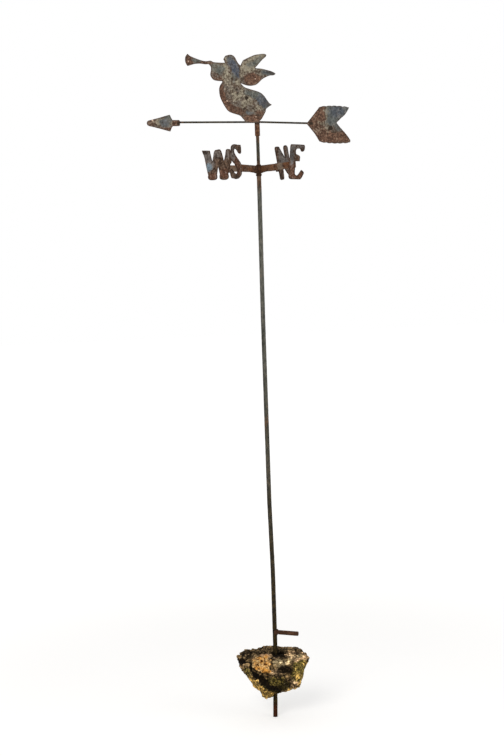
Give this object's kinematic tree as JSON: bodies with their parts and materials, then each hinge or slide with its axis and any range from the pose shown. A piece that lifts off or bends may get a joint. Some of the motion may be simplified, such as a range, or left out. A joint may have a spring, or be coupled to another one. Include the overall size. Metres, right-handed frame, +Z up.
{
  "type": "weathervane",
  "caption": "Old welded steel weathervane: a cut plate angel with a trumpet on a turning arrow, over a compass cross on a long round post with broken masonry at its foot.",
  "frame": {"origin": "centre of the post's lower end face", "axes": "+Z up along the turning axis, -X towards the arrow's nose and +X towards its tail at rest; the letters stand on arms at 45 degrees to X"},
  "size_m": [0.6549, 0.2785, 2.1066],
  "materials": {
    "old_bar": "dull, dark and weathered",
    "rusty_bar": "matt brown rust",
    "weld_bead": "matt brown rust, rippled",
    "peeling_paint": "blue-grey paint worn through to cream undercoat and brown rust",
    "letter_sheet": "brown rust with traces of grey-blue paint",
    "mortar": "rough lime mortar and aggregate with lichen",
    "brick": "broken orange brick"
  },
  "bodies": {
    "mast": {"post": "old_bar", "spindle": "old_bar", "collar_ring": "rusty_bar", "anchor_peg": "rusty_bar", "peg_weld": "weld_bead", "masonry_lump": "mortar", "brick_fragment": "brick", "hub_sleeve": "rusty_bar", "arm_north": "rusty_bar", "arm_east": "rusty_bar", "arm_south": "rusty_bar", "arm_west": "rusty_bar", "arm_welds": "weld_bead", "letter_north": "letter_sheet", "letter_east": "letter_sheet", "letter_south": "letter_sheet", "letter_west": "letter_sheet", "letter_welds": "weld_bead"},
    "vane": {"rotor_sleeve": "rusty_bar", "thrust_plug": "old_bar", "sleeve_weld": "weld_bead", "arrow_rod": "old_bar", "arrow_head": "peeling_paint", "head_weld": "weld_bead", "arrow_tail": "peeling_paint", "tail_weld": "weld_bead", "angel_plate": "peeling_paint", "angel_weld": "weld_bead"}
  },
  "joints": [
    {"name": "vane_turn", "type": "hinge", "parent": "mast", "child": "vane", "pos_m": [0.00666, 0, 1.85], "axis": [0, 0, 1], "continuous": true}
  ]
}
